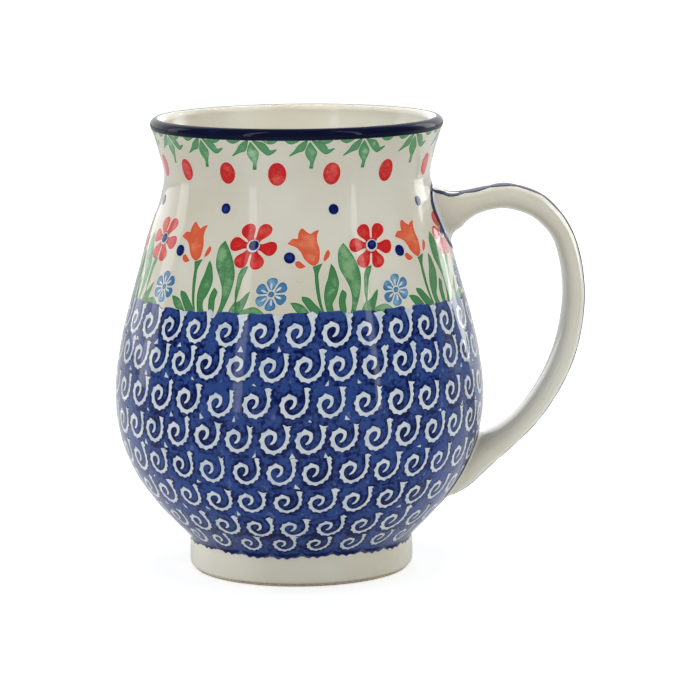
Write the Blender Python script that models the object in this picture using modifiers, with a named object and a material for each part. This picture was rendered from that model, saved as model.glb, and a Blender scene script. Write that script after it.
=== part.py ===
"""A large stoneware mug: a turned vessel with a narrow waist, a flared lip and a foot ring, and a pulled strap handle.

The vessel and the handle are separate pieces of clay. Each end of the handle is stuck to the wall with a pad of
slip (liquid clay), and the fired coats of glaze lie over the clay as thin shells of their own. Run it with
    blender --background --python part.py
or from the text editor. Units are metres, +Z is up, the mug stands on z = 0 and its handle points along +X.
"""

import math

import bmesh
import bpy
import numpy as np
from mathutils import Vector

MM = 0.001

# Driving dimensions of the finished, glazed mug.
HEIGHT = 120.0 * MM
FOOT_RADIUS = 29.9 * MM
BELLY_RADIUS = 48.8 * MM
BELLY_HEIGHT = 46.0 * MM
WAIST_RADIUS = 35.1 * MM
WAIST_HEIGHT = 105.0 * MM
LIP_RADIUS = 38.4 * MM
LIP_ROUNDING = 1.8 * MM

# Clay: the wall, the floor, and the ring that the mug stands on.
WALL = 3.6 * MM
FLOOR_HEIGHT = 7.2 * MM
FOOT_RECESS = 2.4 * MM
FOOT_RING_WIDTH = 4.6 * MM
FOOT_CHAMFER = 0.9 * MM
FOOT_CHAMFER_HEIGHT = 1.4 * MM
RING_INNER_CHAMFER = 0.6 * MM
RECESS_TAPER = 0.3 * MM

# Glaze and slip.
GLAZE = 0.4 * MM
GAP = 0.1 * MM
SLIP = 0.7 * MM
RIM_BAND_HEIGHT = 2.9 * MM
BARE_FOOT = 1.0 * MM
WELL_MARGIN = 0.8 * MM
WELL_RIM = 0.25 * MM
SLIP_SPREAD = 0.5 * MM
OPENING_SPREAD = 0.75 * MM

# The glazed wall as (radius, height) knots. The inside follows the upper part at the wall's thickness.
UPPER_WALL = [
    (LIP_RADIUS, HEIGHT - LIP_ROUNDING),
    (36.5 * MM, 112.0 * MM),
    (WAIST_RADIUS, WAIST_HEIGHT),
    (36.4 * MM, 98.0 * MM),
    (39.3 * MM, 90.0 * MM),
    (43.5 * MM, 75.0 * MM),
    (47.3 * MM, 60.0 * MM),
    (BELLY_RADIUS, BELLY_HEIGHT),
]
LOWER_OUTSIDE = [
    (47.1 * MM, 34.0 * MM),
    (42.6 * MM, 24.0 * MM),
    (36.4 * MM, 16.0 * MM),
    (30.7 * MM, 10.0 * MM),
]
LOWER_INSIDE = [
    (42.7 * MM, 34.0 * MM),
    (37.4 * MM, 24.0 * MM),
    (29.5 * MM, 15.5 * MM),
    (20.0 * MM, 10.4 * MM),
    (10.0 * MM, FLOOR_HEIGHT + 0.8 * MM),
    (0.0, FLOOR_HEIGHT),
]
FOOT_OUTSIDE = [
    (FOOT_RADIUS - 0.5 * MM, 7.6 * MM),
    (FOOT_RADIUS, 5.8 * MM),
    (FOOT_RADIUS, 2.0 * MM),
    (FOOT_RADIUS, BARE_FOOT),
]

# Stations along the strap's middle, in millimetres: distance from the vessel's axis, height, half thickness and
# half width. Both ends lie inside the wall and are cut off by it.
STRAP_STATIONS = [
    (31.0, 94.6, 6.6, 8.9),
    (36.0, 94.9, 6.2, 8.8),
    (40.0, 95.3, 4.8, 8.5),
    (43.5, 96.1, 3.55, 8.0),
    (46.8, 97.1, 3.1, 7.6),
    (50.6, 97.9, 3.05, 7.4),
    (54.6, 98.4, 3.2, 7.3),
    (58.8, 97.6, 3.2, 7.3),
    (63.1, 95.8, 3.15, 7.3),
    (66.7, 92.6, 2.95, 7.3),
    (69.7, 88.4, 2.75, 7.3),
    (71.8, 82.0, 2.8, 7.3),
    (72.7, 75.6, 2.85, 7.3),
    (72.8, 71.0, 2.9, 7.3),
    (71.8, 62.8, 2.95, 7.3),
    (70.1, 56.3, 3.0, 7.2),
    (67.3, 49.8, 2.95, 7.1),
    (63.4, 43.4, 2.9, 7.1),
    (59.4, 38.4, 2.9, 7.2),
    (55.2, 34.7, 3.1, 7.6),
    (51.6, 32.3, 3.9, 8.2),
    (47.0, 29.3, 4.9, 8.9),
    (42.3, 25.4, 5.3, 9.3),
    (38.0, 23.0, 5.4, 9.4),
    (33.0, 21.5, 4.6, 9.2),
]
SECTION_POWER = 0.85

# Facets.
ROUND_STEPS = 40
WALL_STATIONS = 18
LIP_STATIONS = 7
HANDLE_STATIONS = 26
HANDLE_SIDES = 16
ROOT_STATIONS = 8
MERGE_DISTANCE = 0.01 * MM

# The cutters reach this far past the mug.
BEYOND = 20.0 * MM

# Colour and roughness of each material.
STONEWARE = ((0.62, 0.58, 0.50), 0.85)
CLEAR_GLAZE = ((0.66, 0.65, 0.55), 0.12)
COBALT_GLAZE = ((0.016, 0.03, 0.10), 0.10)
SLIP_CLAY = ((0.60, 0.56, 0.47), 0.80)


# Scene helpers.
def clear_scene():
    for thing in list(bpy.data.objects):
        bpy.data.objects.remove(thing)


def new_collection(name):
    collection = bpy.data.collections.new(name)
    bpy.context.scene.collection.children.link(collection)
    return collection


def new_material(name, look):
    colour, roughness = look
    material = bpy.data.materials.new(name)
    material.use_nodes = True
    shader = material.node_tree.nodes["Principled BSDF"]
    shader.inputs["Base Color"].default_value = (*colour, 1.0)
    shader.inputs["Roughness"].default_value = roughness
    shader.inputs["Metallic"].default_value = 0.0
    material.diffuse_color = (*colour, 1.0)
    return material


def finish(thing, material, parent):
    thing.data.materials.append(material)
    thing.parent = parent


def hide(cutter, parent):
    cutter.hide_render = True
    cutter.display_type = "WIRE"
    cutter.parent = parent


# Lines.
def smooth_curve(knots, count):
    """Points evenly spaced along a smooth curve through the knots (Catmull-Rom with centripetal spacing)."""
    knots = np.array(knots, float)
    padded = np.vstack([2 * knots[0] - knots[1], knots, 2 * knots[-1] - knots[-2]])
    fine = [knots[:1]]
    for index in range(1, len(padded) - 2):
        p0, p1, p2, p3 = padded[index - 1 : index + 3]
        t1 = math.sqrt(np.linalg.norm(p1 - p0))
        t2 = t1 + math.sqrt(np.linalg.norm(p2 - p1))
        t3 = t2 + math.sqrt(np.linalg.norm(p3 - p2))
        t = np.linspace(t1, t2, 25)[1:, None]
        a1 = (t1 - t) / t1 * p0 + t / t1 * p1
        a2 = (t2 - t) / (t2 - t1) * p1 + (t - t1) / (t2 - t1) * p2
        a3 = (t3 - t) / (t3 - t2) * p2 + (t - t2) / (t3 - t2) * p3
        b1 = (t2 - t) / t2 * a1 + t / t2 * a2
        b2 = (t3 - t) / (t3 - t1) * a2 + (t - t1) / (t3 - t1) * a3
        fine.append((t2 - t) / (t2 - t1) * b1 + (t - t1) / (t2 - t1) * b2)
    fine = np.vstack(fine)
    length = np.concatenate([[0.0], np.cumsum(np.linalg.norm(np.diff(fine, axis=0), axis=1))])
    wanted = np.linspace(0.0, length[-1], count)
    return np.column_stack([np.interp(wanted, length, column) for column in fine.T])


def offset_inwards(line, distance):
    """An (r, z) line that runs down the outer side, moved towards the clay by a distance, each stretch parallel."""
    stretch = np.diff(line, axis=0)
    stretch /= np.linalg.norm(stretch, axis=1)[:, None]
    normal = np.column_stack([-stretch[:, 1], stretch[:, 0]])
    before = np.vstack([normal[:1], normal])
    after = np.vstack([normal, normal[-1:]])
    share = 1.0 + np.sum(before * after, axis=1)
    return line - distance * (before + after) / share[:, None]


def shell_line(line, depth):
    """The closed (r, z) loop of a shell: down the line, and back up at a depth under it."""
    return np.vstack([line, offset_inwards(line, depth)[::-1]])


def outside_line():
    """(r, z) down the glazed outside, from just under the lip's widest point to the foot's groove."""
    return smooth_curve(UPPER_WALL + LOWER_OUTSIDE, WALL_STATIONS)


def inside_line():
    """(r, z) down the glazed inside, from the lip to the middle of the floor."""
    upper = [(radius - WALL, height) for radius, height in UPPER_WALL]
    return smooth_curve(upper + LOWER_INSIDE, WALL_STATIONS + 2)


def lip_arc():
    """(r, z) over the rounded lip, from the inside wall to the widest point outside."""
    middle = LIP_RADIUS - WALL / 2
    angles = np.radians(np.linspace(180.0, 0.0, LIP_STATIONS))
    radius = middle + WALL / 2 * np.cos(angles)
    height = HEIGHT - LIP_ROUNDING + LIP_ROUNDING * np.sin(angles)
    return np.column_stack([radius, height])


# Solids.
def turned(name, line, collection, closed=False):
    """A solid of revolution about +Z from an (r, z) line in the XZ plane."""
    mesh = bpy.data.meshes.new(name)
    edges = [(i, i + 1) for i in range(len(line) - 1)]
    if closed:
        edges.append((len(line) - 1, 0))
    mesh.from_pydata([(r, 0.0, z) for r, z in line], edges, [])
    thing = bpy.data.objects.new(name, mesh)
    collection.objects.link(thing)
    screw = thing.modifiers.new("turn", "SCREW")
    screw.axis = "Z"
    screw.angle = 2 * math.pi
    screw.steps = ROUND_STEPS
    screw.render_steps = ROUND_STEPS
    screw.use_merge_vertices = True
    screw.merge_threshold = MERGE_DISTANCE
    screw.use_smooth_shade = True
    return thing


def power_curve(value):
    """A cosine or sine bent so that the strap's section is a little squarer than an ellipse."""
    return math.copysign(abs(value) ** SECTION_POWER, value)


def strap(name, grow, collection, capped=True, first=0, last=HANDLE_STATIONS):
    """The strap handle as a loft of rounded sections along its path, grown outwards by a distance."""
    path = smooth_curve(np.array(STRAP_STATIONS) * MM, HANDLE_STATIONS)
    middle = path[:, :2]
    tangent = np.gradient(middle, axis=0)
    tangent /= np.linalg.norm(tangent, axis=1)[:, None]
    across = np.column_stack([-tangent[:, 1], tangent[:, 0]])
    shape = bmesh.new()
    rings = []
    for index in range(first, last):
        ring = []
        for side in range(HANDLE_SIDES):
            angle = 2 * math.pi * (side + 0.5) / HANDLE_SIDES
            thick = (path[index, 2] + grow) * power_curve(math.sin(angle))
            wide = (path[index, 3] + grow) * power_curve(math.cos(angle))
            spot = middle[index] + across[index] * thick
            ring.append(shape.verts.new((spot[0], wide, spot[1])))
        rings.append(ring)
    for one, two in zip(rings, rings[1:]):
        for side in range(HANDLE_SIDES):
            other = (side + 1) % HANDLE_SIDES
            shape.faces.new((one[side], one[other], two[other], two[side]))
    if capped:
        shape.faces.new(rings[0])
        shape.faces.new(rings[-1])
    bmesh.ops.recalc_face_normals(shape, faces=shape.faces)
    mesh = bpy.data.meshes.new(name)
    shape.to_mesh(mesh)
    shape.free()
    mesh.shade_smooth()
    thing = bpy.data.objects.new(name, mesh)
    collection.objects.link(thing)
    return thing


def cut(thing, cutter, operation="DIFFERENCE"):
    boolean = thing.modifiers.new(operation.lower() + "_" + cutter.name, "BOOLEAN")
    boolean.operation = operation
    boolean.object = cutter
    boolean.solver = "EXACT"


def solidify(thing, thickness):
    coat = thing.modifiers.new("coat", "SOLIDIFY")
    coat.thickness = thickness
    coat.offset = 1.0
    coat.use_even_offset = True


def envelope(name, clearance, collection, parent):
    """A cutter that fills the vessel and stands off its clay wall by a clearance."""
    skin = np.vstack([outside_line(), FOOT_OUTSIDE])
    line = offset_inwards(skin, GLAZE + GAP - clearance)
    above = [(0.0, HEIGHT + BEYOND), (LIP_RADIUS, HEIGHT + BEYOND)]
    below = [(FOOT_RADIUS, -BEYOND), (0.0, -BEYOND)]
    thing = turned(name, np.vstack([above, line, below]), collection)
    hide(thing, parent)
    return thing


# The mug's pieces.
def build_body(mug, material, axis):
    """The clay vessel: floor, inner wall, lip, outer wall and foot ring as one loop from axis to axis."""
    inside = inside_line()
    skin = np.vstack([inside[:0:-1], lip_arc(), outside_line()[1:], FOOT_OUTSIDE[:-1]])
    depth = GLAZE + GAP
    ring_outer = FOOT_RADIUS - depth
    ring_inner = FOOT_RADIUS - FOOT_RING_WIDTH
    base = [
        (ring_outer, FOOT_CHAMFER_HEIGHT),
        (ring_outer - FOOT_CHAMFER, 0.0),
        (ring_inner + RING_INNER_CHAMFER, 0.0),
        (ring_inner, RING_INNER_CHAMFER),
        (ring_inner - RECESS_TAPER, FOOT_RECESS),
        (0.0, FOOT_RECESS),
    ]
    floor_middle = [(0.0, FLOOR_HEIGHT - depth)]
    body = turned("clay_body", np.vstack([floor_middle, offset_inwards(skin, depth), base]), mug)
    finish(body, material, axis)


def build_rim_band(mug, material, axis):
    """The cobalt coat over the lip."""
    outside = outside_line()
    bottom = HEIGHT - RIM_BAND_HEIGHT
    edge = np.interp(bottom, outside[::-1, 1], outside[::-1, 0])
    on_band = outside[1:][outside[1:, 1] > bottom]
    line = np.vstack([lip_arc()[2:], on_band, [(edge, bottom)]])
    band = turned("rim_band", shell_line(line, GLAZE), mug, closed=True)
    finish(band, material, axis)


def build_outer_glaze(mug, material, axis):
    """The clear coat from under the rim band to the bare foot."""
    outside = outside_line()
    top = HEIGHT - RIM_BAND_HEIGHT - GAP
    edge = np.interp(top, outside[::-1, 1], outside[::-1, 0])
    below = outside[outside[:, 1] < top - 0.5 * MM]
    line = np.vstack([[(edge, top)], below, FOOT_OUTSIDE])
    coat = turned("outer_glaze", shell_line(line, GLAZE), mug, closed=True)
    finish(coat, material, axis)
    return coat


def build_inner_glaze(mug, material, axis):
    """The clear lining, which stops just short of the rim band."""
    lip = lip_arc()
    line = np.vstack([inside_line()[:0:-1], lip[:2]])
    under = offset_inwards(line, GLAZE)
    short = (lip[2] - lip[1]) * 0.1
    line[-1] -= short
    under[-1] -= short
    floor_top = [(0.0, FLOOR_HEIGHT)]
    floor_under = [(0.0, FLOOR_HEIGHT - GLAZE)]
    lining = turned("inner_glaze", np.vstack([floor_top, line, under[::-1], floor_under]), mug)
    finish(lining, material, axis)


def build_well_glaze(mug, material, axis):
    """The disc of clear glaze inside the foot ring."""
    radius = FOOT_RADIUS - FOOT_RING_WIDTH - WELL_MARGIN
    top = FOOT_RECESS - GAP
    line = [
        (0.0, top),
        (radius, top),
        (radius, top - WELL_RIM),
        (radius - RECESS_TAPER, top - GLAZE),
        (0.0, top - GLAZE),
    ]
    well = turned("well_glaze", line, mug)
    finish(well, material, axis)


def build_handle(mug, cutters, clay, glaze, axis):
    """The clay strap and its coat, cut off square to the wall, clear of the slip pads."""
    cutter = envelope("handle_cutter", GAP + SLIP + GAP, cutters, axis)
    handle = strap("clay_handle", -(GLAZE + GAP), mug)
    cut(handle, cutter)
    finish(handle, clay, axis)
    coat = strap("handle_glaze", -GLAZE, mug, capped=False)
    solidify(coat, GLAZE)
    cut(coat, cutter)
    finish(coat, glaze, axis)
    return coat


def build_slip_joints(mug, cutters, slip, coat, axis):
    """A pad of slip at each end of the handle, and the opening it makes in the vessel's coat."""
    pad_outer = envelope("pad_outer", GAP + SLIP, cutters, axis)
    pad_inner = envelope("pad_inner", GAP, cutters, axis)
    spans = {"upper": (0, ROOT_STATIONS), "lower": (HANDLE_STATIONS - ROOT_STATIONS, HANDLE_STATIONS)}
    for place, (first, last) in spans.items():
        pad = strap(place + "_slip_joint", SLIP_SPREAD, mug, first=first, last=last)
        cut(pad, pad_outer, "INTERSECT")
        cut(pad, pad_inner)
        finish(pad, slip, axis)
        opening = strap(place + "_opening", OPENING_SPREAD, cutters, first=first, last=last)
        hide(opening, axis)
        cut(coat, opening)


def centre_on_origin(axis, vessel, handle):
    """Stands the vessel's axis to -X, so that the origin is under the middle of the whole mug."""
    bpy.context.view_layer.update()
    graph = bpy.context.evaluated_depsgraph_get()
    reach = max(corner[0] for corner in handle.evaluated_get(graph).bound_box)
    belly = max(Vector(corner).x for corner in vessel.evaluated_get(graph).bound_box)
    axis.location.x = -(reach - belly) / 2


def build():
    clear_scene()
    mug = new_collection("stoneware_mug")
    cutters = new_collection("cutters")
    clay = new_material("stoneware_clay", STONEWARE)
    clear = new_material("clear_glaze", CLEAR_GLAZE)
    cobalt = new_material("cobalt_glaze", COBALT_GLAZE)
    slip = new_material("joining_slip", SLIP_CLAY)
    axis = bpy.data.objects.new("vessel_axis", None)
    mug.objects.link(axis)

    build_body(mug, clay, axis)
    build_rim_band(mug, cobalt, axis)
    outer_glaze = build_outer_glaze(mug, clear, axis)
    build_inner_glaze(mug, clear, axis)
    build_well_glaze(mug, clear, axis)
    handle_glaze = build_handle(mug, cutters, clay, clear, axis)
    build_slip_joints(mug, cutters, slip, outer_glaze, axis)
    centre_on_origin(axis, outer_glaze, handle_glaze)


build()
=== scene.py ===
"""The looks of the stoneware mug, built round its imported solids.

The vessel and the handle are rebuilt as fine glazed surfaces, and the painting lies on them as thin layers of
colour. Motifs are drawn flat, in mm, x to the right and y up, and are then wrapped on to the wall. Angles
round the vessel are in degrees from the front (-Y), positive towards the handle (+X).
"""

import math

import bmesh
import bpy
import numpy as np
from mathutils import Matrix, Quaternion, Vector, geometry, kdtree


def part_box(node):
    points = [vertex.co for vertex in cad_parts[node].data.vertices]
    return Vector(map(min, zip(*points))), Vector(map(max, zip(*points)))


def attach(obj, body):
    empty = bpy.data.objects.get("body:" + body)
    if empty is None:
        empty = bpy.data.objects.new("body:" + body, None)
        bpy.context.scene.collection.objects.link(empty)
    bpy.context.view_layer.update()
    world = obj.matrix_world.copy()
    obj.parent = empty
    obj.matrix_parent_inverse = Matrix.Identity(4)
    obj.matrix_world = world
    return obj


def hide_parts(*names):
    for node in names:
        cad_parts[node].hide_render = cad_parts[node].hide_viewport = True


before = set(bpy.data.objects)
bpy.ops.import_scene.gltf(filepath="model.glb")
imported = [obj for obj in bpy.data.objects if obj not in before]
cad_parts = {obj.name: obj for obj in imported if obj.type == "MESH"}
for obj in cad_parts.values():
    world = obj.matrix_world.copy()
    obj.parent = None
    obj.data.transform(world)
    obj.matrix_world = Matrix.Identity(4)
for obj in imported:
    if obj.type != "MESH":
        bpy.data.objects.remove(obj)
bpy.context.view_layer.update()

MM = 0.001

# Sizes taken from the frame.
BAND_LOW, BAND_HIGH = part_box("rim_band")
AXIS_X = (BAND_LOW.x + BAND_HIGH.x) / 2
HEIGHT = BAND_HIGH.z
LIP_RADIUS = (BAND_HIGH.x - BAND_LOW.x) / 2
COAT_THICKNESS = 0.4 * MM
FLOOR_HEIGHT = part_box("inner_glaze")[0].z + COAT_THICKNESS

# The vessel's lip, foot and fineness.
LIP_HEIGHT = 1.8 * MM
LIP_THICKNESS = 3.6 * MM
FOOT_TOP = 7.6 * MM
FOOT_CORNER = 12.0 * MM
ROUND_STEPS = 192
WALL_STEPS = 1200
LINING_ROWS, UPPER_ROWS, LOWER_ROWS, FOOT_ROWS = 90, 112, 30, 20

# Lifts of the paint layers over the glazed wall, from the lowest to the highest.
LIFT_HALO = 0.02 * MM
LIFT_GREEN = 0.035 * MM
LIFT_BLOOM = 0.045 * MM
LIFT_GROUND = 0.05 * MM
LIFT_RING = 0.08 * MM
LIFT_SCROLL = 0.085 * MM
LIFT_DOT = 0.11 * MM
LIFT_ROOT = 0.13 * MM
LIFT_LINE = 0.15 * MM
PAINT_DEPTH = 0.2 * MM


# Curves
def spline(knots, closed=False, per_span=16):
    """Fine points of a centripetal Catmull-Rom curve through the knots, in any number of columns."""
    knots = np.array(knots, float)
    if closed:
        padded = np.vstack([knots[-1:], knots, knots[:2]])
    else:
        padded = np.vstack([2 * knots[0] - knots[1], knots, 2 * knots[-1] - knots[-2]])
    fine = []
    for first in range(len(padded) - 3):
        level = padded[first : first + 4]
        steps = np.sqrt(np.maximum(np.linalg.norm(np.diff(level, axis=0), axis=1), 1e-9))
        times = np.concatenate([[0.0], np.cumsum(steps)])
        t = np.linspace(times[1], times[2], per_span, endpoint=False)[:, None]
        for low, high in ((0, 1), (0, 2), (1, 2)):
            spans = [(times[i + low], times[i + high]) for i in range(len(level) - 1)]
            level = [
                ((late - t) * one + (t - early) * two) / (late - early)
                for (early, late), one, two in zip(spans, level, level[1:])
            ]
        fine.append(level[0])
    if not closed:
        fine.append(knots[-1:])
    return np.vstack(fine)


def lengths(line, columns=2):
    """Distance along a line at each of its points, measured in its first columns."""
    steps = np.linalg.norm(np.diff(line[:, :columns], axis=0), axis=1)
    return np.concatenate([[0.0], np.cumsum(steps)])


def respaced(line, count, columns=2):
    """The same line with evenly spaced points."""
    along = lengths(line, columns)
    wanted = np.linspace(0.0, along[-1], count)
    return np.column_stack([np.interp(wanted, along, column) for column in line.T])


def outline(knots, spacing=0.3):
    """A closed outline in mm. A knot with a third value is a corner, and the stretches between are smooth."""
    points = np.array([knot[:2] for knot in knots], float)
    corners = [index for index, knot in enumerate(knots) if len(knot) > 2]
    if not corners:
        line = spline(points, closed=True)
        line = np.vstack([line, line[:1]])
        return respaced(line, max(8, int(lengths(line)[-1] / spacing)))[:-1]
    parts = []
    for one, two in zip(corners, corners[1:] + [corners[0] + len(knots)]):
        stretch = points[[index % len(knots) for index in range(one, two + 1)]]
        line = spline(stretch) if len(stretch) > 2 else stretch
        parts.append(respaced(line, max(3, int(lengths(line)[-1] / spacing) + 1))[:-1])
    return np.vstack(parts)


# The vessel's wall, as a surface
def skin_stations(node, outer):
    """(r, z) of a glaze coat's free skin, read from the coat's vertices on the side away from the handle."""
    corners = [vertex.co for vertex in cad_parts[node].data.vertices]
    cut = [corner for corner in corners if abs(corner.y) < 0.01 * MM and corner.x < AXIS_X - 1 * MM]
    spots = np.array(sorted({(round(AXIS_X - corner.x, 6), round(corner.z, 6)) for corner in cut}))
    found = []
    for spot in spots:
        apart = spots - spot
        distance = np.linalg.norm(apart, axis=1)
        partner = apart[(distance > 0.6 * COAT_THICKNESS) & (distance < 1.5 * COAT_THICKNESS)]
        if len(partner):
            across, up = partner[np.argmin(abs(np.linalg.norm(partner, axis=1) - COAT_THICKNESS))]
            if across < 0 if outer else across > 0 or up < -0.5 * COAT_THICKNESS:
                found.append(spot)
    return np.array(sorted(found, key=lambda spot: spot[1]))


def wobble(angle, height):
    """How far a hand-turned wall strays from a true round, in metres."""
    slow = 0.06 * np.sin(2 * angle + 0.7) + 0.045 * np.sin(3 * angle - 1.1 + height / (40 * MM))
    rings = 0.012 * np.sin(height / (1.9 * MM) + 0.4 * np.sin(angle))
    fade = np.clip((HEIGHT - height) / (12 * MM), 0.0, 1.0) * np.clip(height / (12 * MM), 0.0, 1.0)
    return (slow + rings) * MM * fade


# (r, z) of the foot's upper end, where the painted ground's lower edge lies.
FOOT_KNOTS = np.array([(29.68, -0.9), (29.6, -0.1), (29.55, 0.7)]) * MM + (0.0, FOOT_TOP)


def wall_line():
    """(r, z) up the outside wall, from the foot's upper end to the lip."""
    skin = skin_stations("outer_glaze", outer=True)
    free = (skin[:, 1] > FOOT_TOP + 1 * MM) & (skin[:, 1] < BAND_LOW.z - 1 * MM)
    knots = np.vstack([FOOT_KNOTS, skin[free], [(LIP_RADIUS, HEIGHT - LIP_HEIGHT)]])
    return respaced(spline(knots), WALL_STEPS)


WALL = wall_line()
WALL_LENGTH = lengths(WALL)
WALL_TANGENT = np.gradient(WALL, WALL_LENGTH, axis=0)


def length_at(height):
    """Distance up the wall from its lower end to a height."""
    return np.interp(height, WALL[:, 1], WALL_LENGTH)


def radius_at(length):
    return np.interp(length, WALL_LENGTH, WALL[:, 0])


def wall_point(angle, length, lift=0.0):
    """(points, normals) on the wall at angles in radians and lengths up the wall, lifted along the normal."""
    angle, length = np.broadcast_arrays(np.asarray(angle, float), np.asarray(length, float))
    along_wall = np.hstack([WALL, WALL_TANGENT]).T
    radius, height, along_r, along_z = (np.interp(length, WALL_LENGTH, values) for values in along_wall)
    size = np.hypot(along_r, along_z)
    stray = wobble(angle, height)
    nudge = 1e-3
    slope_round = (wobble(angle + nudge, height) - stray) / (nudge * radius)
    slope_up = (wobble(angle, height + nudge * MM) - stray) / (nudge * MM)
    out = np.stack([np.sin(angle), -np.cos(angle), np.zeros_like(angle)], axis=-1)
    around = np.stack([np.cos(angle), np.sin(angle), np.zeros_like(angle)], axis=-1)
    up = np.array((0.0, 0.0, 1.0))
    normal = out * (along_z / size)[..., None] - up * (along_r / size)[..., None]
    normal = normal - around * slope_round[..., None] - up * slope_up[..., None]
    normal /= np.linalg.norm(normal, axis=-1)[..., None]
    point = out * (radius + stray)[..., None] + up * height[..., None] + normal * lift
    point[..., 0] += AXIS_X
    return point, normal


# Meshes
def new_object(name, points, faces, material, smooth=True):
    mesh = bpy.data.meshes.new(name)
    mesh.from_pydata(points, [], faces)
    mesh.materials.append(material)
    if smooth:
        mesh.shade_smooth()
    thing = bpy.data.objects.new(name, mesh)
    bpy.context.scene.collection.objects.link(thing)
    return thing


def set_value(thing, name, values):
    attribute = thing.data.attributes.new(name, "FLOAT", "POINT")
    attribute.data.foreach_set("value", np.asarray(values, np.float32))


def set_normals(thing, corner_normals):
    """Shading normals, one for each face corner in the mesh's order."""
    thing.data.normals_split_custom_set([tuple(normal) for normal in corner_normals])


def finish_piece(thing, slot, *stands_for):
    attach(thing, "root")
    if stands_for:
        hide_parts(*stands_for)


def grid_faces(rows, columns, closed=True):
    """Quads between rows of points. A row closes on itself, or else runs from one edge to the other."""
    index = np.arange(rows * columns).reshape(rows, columns)
    beside = np.roll(index, -1, axis=1)
    faces = np.stack([index[:-1], beside[:-1], beside[1:], index[1:]], axis=-1)
    return (faces if closed else faces[:, :-1]).reshape(-1, 4).tolist()


def turned_solid(name, line, material, to_axis=False, straying=True):
    """A solid of revolution. The (r, z) line's two ends lie on the axis or meet each other."""
    angle = np.linspace(0.0, 2 * math.pi, ROUND_STEPS, endpoint=False)
    middle = line[1:-1] if to_axis else line
    height = np.repeat(middle[:, 1:], ROUND_STEPS, axis=1)
    radius = middle[:, :1] + (wobble(angle, height) if straying else 0.0)
    points = np.stack([AXIS_X + radius * np.sin(angle), -radius * np.cos(angle), height], axis=-1)
    points = points.reshape(-1, 3)
    count = len(points)
    if to_axis:
        points = np.vstack([points, [(AXIS_X, 0.0, line[0, 1]), (AXIS_X, 0.0, line[-1, 1])]])
        faces = grid_faces(len(middle), ROUND_STEPS)
        top = count - ROUND_STEPS
        for column in range(ROUND_STEPS):
            beside = (column + 1) % ROUND_STEPS
            faces += [(count, beside, column), (count + 1, top + column, top + beside)]
    else:
        faces = [[index % count for index in face] for face in grid_faces(len(middle) + 1, ROUND_STEPS)]
    thing = new_object(name, points, faces, material)
    face_outwards(thing)
    return thing


def face_outwards(thing):
    """Turns the faces of a closed mesh outwards."""
    work = bmesh.new()
    work.from_mesh(thing.data)
    bmesh.ops.recalc_face_normals(work, faces=work.faces)
    work.to_mesh(thing.data)
    work.free()


# Paint: flat patches wrapped on to the wall as thin closed layers
def inside(points, loop):
    """Which points lie inside a closed loop."""
    x, y = points[:, 0][:, None], points[:, 1][:, None]
    ax, ay = loop[:, 0], loop[:, 1]
    bx, by = np.roll(ax, -1), np.roll(ay, -1)
    straddles = (ay > y) != (by > y)
    with np.errstate(divide="ignore", invalid="ignore"):
        crossing = ax + (y - ay) / (by - ay) * (bx - ax)
    return (straddles & (x < crossing)).sum(axis=1) % 2 == 1


def distance_to(points, loop):
    """Distance from each point to a closed loop's sides."""
    side = np.roll(loop, -1, axis=0) - loop
    reach = points[:, None] - loop
    share = np.clip((reach * side).sum(2) / np.maximum((side**2).sum(1), 1e-12), 0.0, 1.0)
    return np.linalg.norm(reach - share[..., None] * side, axis=2).min(axis=1)


def turning(loop):
    """Twice the area of a flat loop, negative if it turns clockwise."""
    beyond = np.roll(loop, -1, axis=0)
    return np.sum(loop[:, 0] * beyond[:, 1] - beyond[:, 0] * loop[:, 1])


def spread(loop, amount):
    """A loop moved outwards by an amount, with its sharp tips rounded off."""
    edge = np.roll(loop, -1, axis=0) - np.roll(loop, 1, axis=0)
    edge /= np.maximum(np.linalg.norm(edge, axis=1), 1e-9)[:, None]
    away = np.sign(turning(loop)) * np.column_stack([edge[:, 1], -edge[:, 0]])
    return loop + away * np.reshape(amount, (-1, 1))


def oriented(points, cells):
    """Triangles and quads that all turn counter-clockwise, without the ones that have no area."""
    areas = [turning(points[list(cell)]) for cell in cells]
    return [cell if area > 0 else cell[::-1] for cell, area in zip(cells, areas) if abs(area) > 1e-7]


def filled(loop, grid=1.1, rim=0.28):
    """A patch that fills a closed outline: points, triangles and each point's depth inside the outline."""
    low, high = loop.min(axis=0), loop.max(axis=0)
    across = np.arange(low[0] + grid / 2, high[0], grid)
    upward = np.arange(low[1] + grid / 2, high[1], grid * 0.87)
    inner = [(x + (row % 2) * grid / 2, y) for row, y in enumerate(upward) for x in across]
    inset = spread(loop, -rim)[::2]
    inner = np.vstack([np.array(inner).reshape(-1, 2), inset])
    inner = inner[inside(inner, loop)]
    on_grid = np.arange(len(inner)) < len(inner) - len(inset)
    inner = inner[distance_to(inner, loop) > np.where(on_grid, 0.55, 0.8 * rim)]
    spots = np.vstack([loop, inner])
    sides = [(index, (index + 1) % len(loop)) for index in range(len(loop))]
    made = geometry.delaunay_2d_cdt([Vector(spot) for spot in spots], sides, [], 1, 1e-5, True)
    points = np.array([tuple(point) for point in made[0]])
    middles = np.array([points[list(face)].mean(axis=0) for face in made[2]])
    triangles = [tuple(face) for face, kept in zip(made[2], inside(middles, loop)) if kept]
    return points, oriented(points, triangles), distance_to(points, loop)


def sideways(line):
    """Unit vectors to the left of a flat line."""
    tangent = np.gradient(line, axis=0)
    tangent /= np.linalg.norm(tangent, axis=1)[:, None]
    return np.column_stack([-tangent[:, 1], tangent[:, 0]])


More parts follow.
